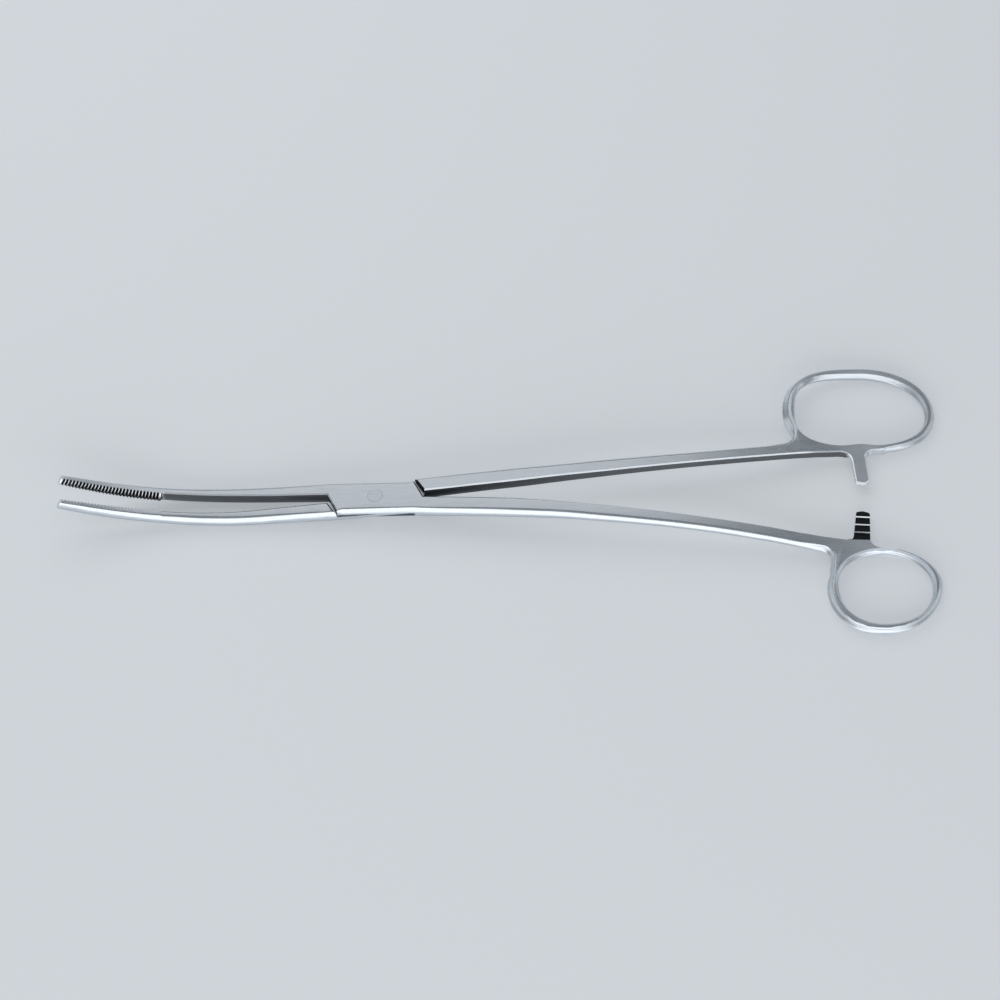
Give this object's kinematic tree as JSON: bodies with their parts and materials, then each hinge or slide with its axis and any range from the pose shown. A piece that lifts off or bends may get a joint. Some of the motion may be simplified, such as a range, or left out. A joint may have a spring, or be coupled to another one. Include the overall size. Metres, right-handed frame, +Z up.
{
  "type": "sponge holding forceps",
  "caption": "Long curved ring-handled forceps with serrated jaws, a box lock and a ratchet, for holding sponges and swabs.",
  "frame": {"origin": "centre of the base of the box round the whole part, on the table it lies on", "axes": "+X along the instrument from the jaw tips to the finger rings, +Y towards the larger ring, +Z up from the table"},
  "size_m": [0.25, 0.0862, 0.014],
  "materials": {
    "slotted_steel": "satin stainless steel, faintly brushed lengthwise, edges polished",
    "tongue_steel": "satin stainless steel, faintly brushed lengthwise, edges polished",
    "rivet_steel": "satin stainless steel, ground flush"
  },
  "bodies": {
    "slotted": {"slotted_half": "slotted_steel", "pivot_rivet": "rivet_steel"},
    "tongue": {"tongue_half": "tongue_steel"}
  },
  "joints": [
    {"name": "lock_hinge", "type": "hinge", "parent": "slotted", "child": "tongue", "pos_m": [-0.03471, 0.00053, 0.00542], "axis": [-0.0821, 0, 0.9966], "range_deg": [-4.2, 30]}
  ]
}
